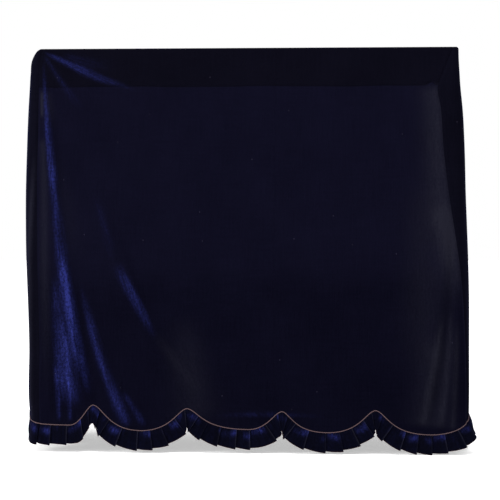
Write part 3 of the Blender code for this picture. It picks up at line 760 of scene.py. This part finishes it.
def build_top():
    share, fall_share = fine_ended(1.40, 232), fine_ended(0.13, 34)[:, None]
    inner_x, corner = TOP_WIDTH / 2 - TOP_CORNER, TOP_CORNER - EDGE_BEND
    seam_x = inner_x - SEAM_PAST_CORNER
    lid_rows = [(TOP_DEPTH / 2 - EDGE_BEND, seam_x)]
    for angle in np.radians(np.linspace(0, 90, 8)[1:]):
        lid_rows.append((TOP_DEPTH / 2 - TOP_CORNER + corner * math.cos(angle), inner_x + corner * math.sin(angle)))
    back_y = TOP_DEPTH / 2 - TOP_CORNER
    lid_rows += [(y, inner_x + corner) for y in np.linspace(back_y, -back_y, 26)[1:-1]]
    lid_rows += [(-y, x) for y, x in reversed(lid_rows[:8])]
    lid = np.array([[((2 * s - 1) * x, y, CLOTH) for s in share] for y, x in lid_rows])
    bend = -EDGE_BEND * (1 - np.cos(np.radians(np.linspace(0, 90, 8)[1:])))
    seam = top_seam(front_girth(share, -TOP_FALL)) + cover_sizes().seam_gap / 2
    fall = -EDGE_BEND + (seam + EDGE_BEND) * fall_share[1:]
    z = np.concatenate([bend[:, None] + 0 * share, fall])
    girth = front_girth(share[None, :], z)
    depth = np.concatenate([np.zeros((len(lid), len(share))), z])
    around = np.concatenate([lid[:, :, 0], girth])
    colours = bpy.context.scene.cover_colours
    # The top panel's velvet is a darker copy, as painted shade
    cloth = velvet_finish("top_velvet", colours.top_velvet, colours.painted_blue_sheen, colours.haze)
    piece, places = velvet_sheet("top_cloth", "top_panel", around, np.minimum(depth, -1e-6), None, cloth, lid)


def build_side(side):
    share = fine_ended(0.73, 130)
    if side < 0:
        share = share[::-1]
    _, hem = settled_hem(lambda z: side * side_girth(side, share, z), SEWN_IN * cover_sizes().piping_radius)
    bend = -EDGE_BEND * (1 - np.cos(np.radians(np.linspace(0, 90, 8)[:-1])))
    down = fine_ended(1.27, 170)[:, None]
    z = np.concatenate([bend[:, None] + 0 * share, -EDGE_BEND + (hem + EDGE_BEND) * down])
    girth = side * side_girth(side, share[None, :], z)
    name = "left" if side < 0 else "right"
    colours = bpy.context.scene.cover_colours
    # The side panels' velvet is a darker copy, as painted shade
    base = colours.shaded_side_velvet
    cloth = velvet_finish(f"{name}_velvet", base, colours.painted_blue_sheen, colours.haze)
    piece, places = velvet_sheet(f"{name}_cloth", f"{name}_side_panel", girth, z, side, cloth)


def build_back():
    columns, rows = 110, 90
    gap = cover_sizes().seam_gap / 2
    half = TOP_WIDTH / 2 - TOP_CORNER - SEAM_PAST_CORNER - gap
    x = np.linspace(half, -half, columns)
    bend = -EDGE_BEND * (1 - np.cos(np.radians(np.linspace(0, 90, 8)[:-1])))
    z = np.concatenate([bend, np.linspace(-EDGE_BEND, -BACK_LENGTH, rows)])[:, None]
    waves = 0.004 * np.sin(x * 9.0 + 0.6) + 0.003 * np.sin(x * 21.0 + 2.0) + 0.0015 * np.sin(x * 47.0 + 1.0)
    fade = np.clip((half - abs(x)) / 0.15, 0, 1) * np.clip(-z / 1.2, 0, 1)
    y = TOP_DEPTH / 2 + edge_bend(z) + waves * fade
    places = np.stack(np.broadcast_arrays(x[None, :], y, z + CLOTH), 2)
    piece, row, column = grid_piece("back_cloth", columns, len(z), places)
    mark(piece, "girth", x[column] + 3.0)
    mark(piece, "drop", z[row, 0])
    mark(piece, "ray", x[column] + 3.0)
    mark(piece, "reach", -z[row, 0])
    for mark_name in ("shine", "haze", "lit"):
        mark(piece, mark_name, 0 * row)
    colours = bpy.context.scene.cover_colours
    piece.data.materials.append(velvet_finish("back_velvet", colours.velvet, colours.painted_blue_sheen, colours.haze))
    thicken(piece, cover_sizes().cloth_thickness, -1)
    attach(piece, "root")
    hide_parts("back_panel")


class Edge:
    """The scalloped seam under one panel, by the distance along it."""

    def __init__(self, side):
        share = np.linspace(0, 1, 900 if side is None else 420)
        if side is None:
            self.girths, _ = settled_hem(lambda z: front_girth(share, z), 0.0)
        else:
            girths, _ = settled_hem(lambda z: side * side_girth(side, share, z), 0.0)
            self.girths = np.sort(girths)
        self.z, self.slopes, self.most = scallop(self.girths)
        self.places, self.normals = skin_both(self.girths, self.z)
        steps = np.linalg.norm(np.diff(self.places, axis=0), axis=1)
        self.along = np.concatenate([[0], np.cumsum(steps)])
        self.length = float(self.along[-1])

    def read(self, values, distance):
        if values.ndim == 1:
            return np.interp(distance, self.along, values)
        return np.stack([np.interp(distance, self.along, values[:, k]) for k in range(3)], -1)

    def frame(self, distance):
        """The seam's places, the outward directions, the directions in which the frill hangs, and how askew it is."""
        girth, slope = self.read(self.girths, distance), self.read(self.slopes, distance)
        normal = self.read(self.normals, distance)
        normal /= np.linalg.norm(normal, axis=-1, keepdims=True)
        most = self.read(self.most, distance) / cover_sizes().frill_width
        turn = np.minimum(np.arctan(abs(slope)), np.arcsin(np.clip(most, 0, 1))) * np.sign(slope)
        rightward = np.stack([-normal[..., 1], normal[..., 0], 0 * slope], -1)
        down = np.array([0.0, 0.0, -1.0])
        hang = np.sin(turn)[..., None] * rightward + np.cos(turn)[..., None] * down
        flares = [f.at for f in FLARES]
        tip = np.radians(np.interp(girth, flares, [f.tip for f in FLARES]))[..., None]
        length = np.interp(girth, flares, [f.reach for f in FLARES])[..., None]
        hang = (np.cos(tip) * hang + np.sin(tip) * normal) * length
        askew = 1 / np.cos(np.arctan(slope) - turn)
        before = np.minimum(distance, 0.0)[..., None] * (self.places[1] - self.places[0]) / self.along[1]
        return self.read(self.places, distance) + before, normal, hang, askew


def pleat_path(length, chance):
    """The frill's section as rows of (distance along the seam, distance out, share of the step down, the pleat's
    flare, and 1 at its fold)."""
    count = round(length / cover_sizes().pleat_pitch)
    pitches = np.array([chance.uniform(0.80, 1.20) for _ in range(count)])
    ends = np.concatenate([[0], np.cumsum(pitches) / pitches.sum()]) * length
    turn = 0.0009
    gap, top = 2 * turn, 4 * turn
    path = [(0.0, 0.0, 0.0, 0.0, 0.0)]
    for k in range(count):
        start, fold = ends[k], ends[k + 1]
        pitch = fold - start
        under = fold - PLEAT_OVERLAP * chance.uniform(0.85, 1.15) * pitch
        flare = chance.uniform(-1, 1)
        path += [
            (start + 0.10 * pitch, 0.25 * top, 0.15, 0.3 * flare, 0.0),
            (start + 0.40 * pitch, 0.60 * top, 0.45, 0.7 * flare, 0.0),
            (under, 0.90 * top, 0.70, flare, 0.0),
        ]
        if k == count - 1:
            path.append((fold, top, 1.0, 0.0, 0.0))
            break
        path += [
            (fold - 3 * turn, top, 1.0, flare, 0.0),
            (fold, top, 1.0, flare, 1.0),
            (fold + turn, top - turn, 1.0, flare, 1.0),
            (fold, top - gap, 1.0, flare, 0.0),
            (under, gap, 0.1, 0.4 * flare, 0.0),
            (under - turn, turn, 0.0, 0.0, 0.0),
            (under, 0.0, 0.0, 0.0, 0.0),
        ]
    return np.array(path)


def finer(path, step):
    """A path with points at about every step, its corners a little rounded."""
    legs = np.hypot(np.diff(path[:, 0]), np.diff(path[:, 1]))
    along = np.concatenate([[0], np.cumsum(legs)])
    wanted = np.linspace(0, along[-1], int(along[-1] / step))
    wanted = np.unique(np.concatenate([wanted, along]))
    made = np.stack([np.interp(wanted, along, path[:, k]) for k in range(path.shape[1])], 1)
    made[1:-1] = (made[:-2] + 2 * made[1:-1] + made[2:]) / 4
    return made, wanted


FRILL_ROWS = 12
FRILL_CLOTH = 0.0008
PLEAT_POINT_STEP = 0.0028
PLEAT_TUCK = 0.009  # what lies under the neighbour's last pleat
PLEAT_PUFF = 0.0026
PLEAT_FLARE = 0.0040


def build_frill(name, edge, seed):
    """One panel's pleated strip and the overlocked thread on its free edge."""
    sizes, colours = cover_sizes(), bpy.context.scene.cover_colours
    end = sizes.seam_gap / 2
    tucked = 0.0 if name == "left" else PLEAT_TUCK
    path, along = finer(pleat_path(edge.length - 2 * end, random.Random(seed)), PLEAT_POINT_STEP)
    path[0, 0] -= tucked
    start, normal, hang, askew = edge.frame(path[:, 0] + end)
    out, step, flare = path[:, 1], path[:, 2], path[:, 3]
    rows = FRILL_ROWS
    places = np.zeros((rows, len(path), 3))
    sewn = SEWN_IN * sizes.piping_radius * askew
    for row in range(rows):
        share = row / (rows - 1)
        puff = PLEAT_PUFF * math.sin(math.pi * min(1.0, share * 1.25)) ** 1.5
        spread = 1 + (PLEAT_SPREAD - 1) * share**1.3
        outward = out * spread * min(1.0, 0.3 + 5 * share) - CLOTH / 2
        outward += puff * (0.35 + 0.65 * out / out.max()) + PLEAT_FLARE * flare * share**2
        reach = sewn + (sizes.frill_width + PLEAT_STEP * (step - 0.5) - sewn) * share
        places[row] = start + normal * outward[:, None] + hang * reach[:, None]
    piece, row, column = grid_piece(f"{name}_pleats", len(path), rows, places)
    down = row / (rows - 1)
    for mark_name, values in (("girth", along[column] + seed), ("ray", along[column] + seed)):
        mark(piece, mark_name, values)
    for mark_name in ("drop", "reach"):
        mark(piece, mark_name, down * sizes.frill_width)
    # Painted sheen on the pleats: blue painted highlights in patches on their upper part under the cord, and grey
    # painted sheen along each fold edge
    outer = np.clip(out / out.max() * 1.3 - 0.2, 0, 1)[column]
    place = along[column]
    upper = np.exp(-(((down - 0.22 - 0.10 * np.sin(place * 53.0)) / 0.15) ** 2))
    painted_sheen_patches = np.clip(0.35 + 0.8 * np.sin(place * 37.0 + seed) + 0.6 * np.sin(place * 91.0), 0, 1)
    folded = np.clip(path[:, 4], 0, 1)[column]
    mark(piece, "shine", 0.50 * upper * outer * painted_sheen_patches + 0.02)
    mark(piece, "haze", 1.3 * folded * (1.0 - 0.4 * down) * np.clip(0.7 + 0.5 * np.sin(place * 61.0 + seed), 0, 1))
    mark(piece, "lit", 0 * row)
    cloth = velvet_finish(f"{name}_frill_velvet", colours.frill, colours.painted_blue_sheen, colours.haze, lint=False)
    piece.data.materials.append(cloth)
    thicken(piece, FRILL_CLOTH, 0)
    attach(piece, "root")
    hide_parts(f"{name}_frill")
    thread = tube_piece(f"{name}_overlock", places[-1], 0.0006, 6, 0)
    thread.data.materials.append(cord_finish(f"{name}_overlock_thread", colours.overlock))
    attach(thread, "root")


TWIST_LENGTH = 0.0085  # along the cord


def tube_piece(name, line, radius, sides, strands):
    """A tube along a line, with its strands twisted round it. It starts as a grid that is rolled up and closed."""
    ahead = np.gradient(line, axis=0)
    ahead /= np.linalg.norm(ahead, axis=1, keepdims=True)
    steps = np.linalg.norm(np.diff(line, axis=0), axis=1)
    along = np.concatenate([[0], np.cumsum(steps)])
    across = np.cross(ahead, np.array([0.0, 0.0, 1.0]))
    across /= np.linalg.norm(across, axis=1, keepdims=True)
    up = np.cross(across, ahead)
    angle = np.linspace(0, 2 * math.pi, sides + 1)[:, None]
    twist = np.ones((sides + 1, len(line)))
    if strands:
        twist = abs(np.sin(strands * (angle / 2) - math.pi * along / TWIST_LENGTH))
    width = radius * (1 - 0.22 * (1 - twist)) if strands else radius * twist
    out = np.cos(angle)[..., None] * across + np.sin(angle)[..., None] * up
    piece, row, column = grid_piece(name, len(line), sides + 1, line + out * width[..., None])
    mark(piece, "strand", twist[row, column])
    deselect_all()
    piece.select_set(True)
    bpy.context.view_layer.objects.active = piece
    bpy.ops.object.mode_set(mode="EDIT")
    bpy.ops.mesh.select_all(action="SELECT")
    bpy.ops.mesh.remove_doubles(threshold=radius * 0.01)
    bpy.ops.mesh.select_all(action="SELECT")
    bpy.ops.mesh.fill_holes(sides=sides)
    bpy.ops.mesh.select_all(action="SELECT")
    bpy.ops.mesh.normals_make_consistent(inside=False)
    bpy.ops.object.mode_set(mode="OBJECT")
    piece.data.shade_smooth()
    return piece


def build_cord(name, edge):
    """The twisted cord in one panel's scalloped seam."""
    sizes, colours = cover_sizes(), bpy.context.scene.cover_colours
    line, _, _, _ = edge.frame(np.linspace(0, edge.length, int(edge.length / 0.0017)))
    piece = tube_piece(f"{name}_cord", line, sizes.piping_radius, 10, 2)
    piece.data.materials.append(cord_finish(f"{name}_twisted_cord", colours.cord))
    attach(piece, "root")
    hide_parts(f"{name}_piping")


def soft_light(name, place, aim, size, power, colour):
    deselect_all()
    bpy.ops.object.light_add(type="AREA", location=place)
    lamp = bpy.context.object
    lamp.name = name
    lamp.data.shape = "DISK"
    lamp.data.size = size
    lamp.data.energy = power
    lamp.data.color = colour
    lamp.rotation_euler = (Vector(aim) - Vector(place)).to_track_quat("-Z", "Y").to_euler()


def build_stage():
    colours = bpy.context.scene.cover_colours
    deselect_all()
    bpy.ops.mesh.primitive_circle_add(vertices=96, radius=30, fill_type="NGON", location=(0, 0, FLOOR_Z - 0.001))
    floor = bpy.context.object
    floor.name = "floor"
    floor.data.materials.append(floor_finish(colours.floor))

    world = bpy.data.worlds.new("studio")
    world.use_nodes = True
    world.node_tree.nodes["Background"].inputs["Color"].default_value = (1.0, 1.0, 1.0, 1.0)
    world.node_tree.nodes["Background"].inputs["Strength"].default_value = 1.0
    bpy.context.scene.world = world
    soft_light("left_softbox", (-4.2, -2.6, 0.4), (-0.3, -0.4, -0.8), 1.6, 150, (1.0, 1.0, 1.0))
    soft_light("top_softbox", (0.3, -2.4, 3.2), (0.0, -0.2, -0.6), 2.6, 160, (1.0, 1.0, 1.0))

    yaw, distance, aside, focal, horizon = math.radians(3), 5.5, 0.0219, 1659.6, 225.07
    front_plane, eye_z, frame_size, sensor = -0.43, -0.6115, 500, 36
    place = (
        distance * math.sin(yaw) + aside * math.cos(yaw),
        front_plane - distance * math.cos(yaw) + aside * math.sin(yaw),
        eye_z,
    )
    deselect_all()
    bpy.ops.object.camera_add(location=place, rotation=(math.pi / 2, 0, yaw))
    camera = bpy.context.object
    camera.data.sensor_width = sensor
    camera.data.lens = focal / frame_size * sensor
    camera.data.shift_y = (horizon - frame_size / 2) / frame_size
    camera.data.clip_end = 100
    bpy.context.scene.camera = camera
    bpy.context.scene.view_settings.view_transform = "Standard"


class CoverSizes(bpy.types.PropertyGroup):
    """The cover's sizes."""

    cloth_thickness: bpy.props.FloatProperty(
        name="Cloth thickness", description="Velvet with its pile", default=0.002, unit="LENGTH")
    seam_gap: bpy.props.FloatProperty(
        name="Seam gap", description="Between two panels at a seam", default=0.00005, unit="LENGTH", precision=5)
    piping_radius: bpy.props.FloatProperty(
        name="Cord radius", description="Half the twisted cord's thickness", default=0.0016, unit="LENGTH")
    frill_width: bpy.props.FloatProperty(
        name="Frill width", description="From the cord to the frill's free edge", default=0.063, unit="LENGTH")
    pleat_pitch: bpy.props.FloatProperty(
        name="Pleat pitch", description="From one pleat's fold to the next", default=0.046, unit="LENGTH")


def colour_property(name, description, default):
    return bpy.props.FloatVectorProperty(
        name=name, description=description, subtype="COLOR", size=4, min=0, max=1, default=(*default, 1.0))


class CoverColours(bpy.types.PropertyGroup):
    """The cover's colours."""

    velvet: colour_property("Velvet", "The velvet's pile, seen straight on", (0.0018, 0.0017, 0.0050))
    # Darker copies of the velvet, as painted shade on the top and side panels
    top_velvet: colour_property("Shaded top velvet", "The top panel's velvet, darker as painted shade", (0.0014, 0.0013, 0.0030))
    shaded_side_velvet: colour_property("Shaded side velvet", "The side panels' velvet, darker as painted shade", (0.0018, 0.0017, 0.0039))
    # Painted highlight and painted reflection: the blue and grey sheen
    painted_blue_sheen: colour_property("Painted blue sheen", "Painted highlight, where the velvet catches the light", (0.0150, 0.0190, 0.112))
    haze: colour_property("Painted grey sheen", "Painted reflection, a grey sheen on the velvet", (0.0078, 0.0077, 0.0132))
    frill: colour_property("Frill", "The frill's velvet", (0.0013, 0.0013, 0.0030))
    cord: colour_property("Cord", "The twisted cord", (0.072, 0.045, 0.048))
    overlock: colour_property("Overlock", "The thread on the frill's free edge", (0.030, 0.006, 0.006))
    floor: colour_property("Floor", "The studio's floor", (0.93, 0.93, 0.93))


class BuildFront(bpy.types.Operator):
    """Build the front panel with the folds that spread from its left top corner"""

    bl_idname = "cover.build_front"
    bl_label = "Front panel"

    def execute(self, context):
        build_front()
        return {"FINISHED"}


class BuildTop(bpy.types.Operator):
    """Build the top panel, which falls over the front edge"""

    bl_idname = "cover.build_top"
    bl_label = "Top panel"

    def execute(self, context):
        build_top()
        return {"FINISHED"}


class BuildSides(bpy.types.Operator):
    """Build both side panels"""

    bl_idname = "cover.build_sides"
    bl_label = "Side panels"

    def execute(self, context):
        build_side(-1)
        build_side(1)
        return {"FINISHED"}


class BuildBack(bpy.types.Operator):
    """Build the plain back panel"""

    bl_idname = "cover.build_back"
    bl_label = "Back panel"

    def execute(self, context):
        build_back()
        return {"FINISHED"}


class BuildTrim(bpy.types.Operator):
    """Build each panel's twisted cord and its pleated frill"""

    bl_idname = "cover.build_trim"
    bl_label = "Cord and frill"

    def execute(self, context):
        for seed, (name, side) in enumerate((("front", None), ("left", -1), ("right", 1))):
            edge = Edge(side)
            build_cord(name, edge)
            build_frill(name, edge, seed + 1)
        return {"FINISHED"}


class BuildStage(bpy.types.Operator):
    """Build the floor, the lights and the camera"""

    bl_idname = "cover.build_stage"
    bl_label = "Stage"

    def execute(self, context):
        build_stage()
        return {"FINISHED"}


class CoverPanel(bpy.types.Panel):
    """Lists the cover's sizes, colours and pieces"""

    bl_idname = "VIEW3D_PT_cover"
    bl_label = "Velvet cover"
    bl_space_type = "VIEW_3D"
    bl_region_type = "UI"
    bl_category = "Cover"

    def draw(self, context):
        for group in (context.scene.cover_sizes, context.scene.cover_colours):
            box = self.layout.box()
            for name in group.bl_rna.properties.keys():
                if name not in ("rna_type", "name"):
                    box.prop(group, name)
        for operator in OPERATORS:
            self.layout.operator(operator.bl_idname)


OPERATORS = (BuildStage, BuildTop, BuildFront, BuildSides, BuildBack, BuildTrim)
CLASSES = (CoverSizes, CoverColours, *OPERATORS, CoverPanel)


def register():
    for made in CLASSES:
        bpy.utils.register_class(made)
    bpy.types.Scene.cover_sizes = bpy.props.PointerProperty(type=CoverSizes)
    bpy.types.Scene.cover_colours = bpy.props.PointerProperty(type=CoverColours)


def unregister():
    del bpy.types.Scene.cover_sizes
    del bpy.types.Scene.cover_colours
    for made in reversed(CLASSES):
        bpy.utils.unregister_class(made)


def main():
    register()
    bpy.ops.cover.build_stage()
    bpy.ops.cover.build_top()
    bpy.ops.cover.build_front()
    bpy.ops.cover.build_sides()
    bpy.ops.cover.build_back()
    bpy.ops.cover.build_trim()


if __name__ == "__main__":
    main()
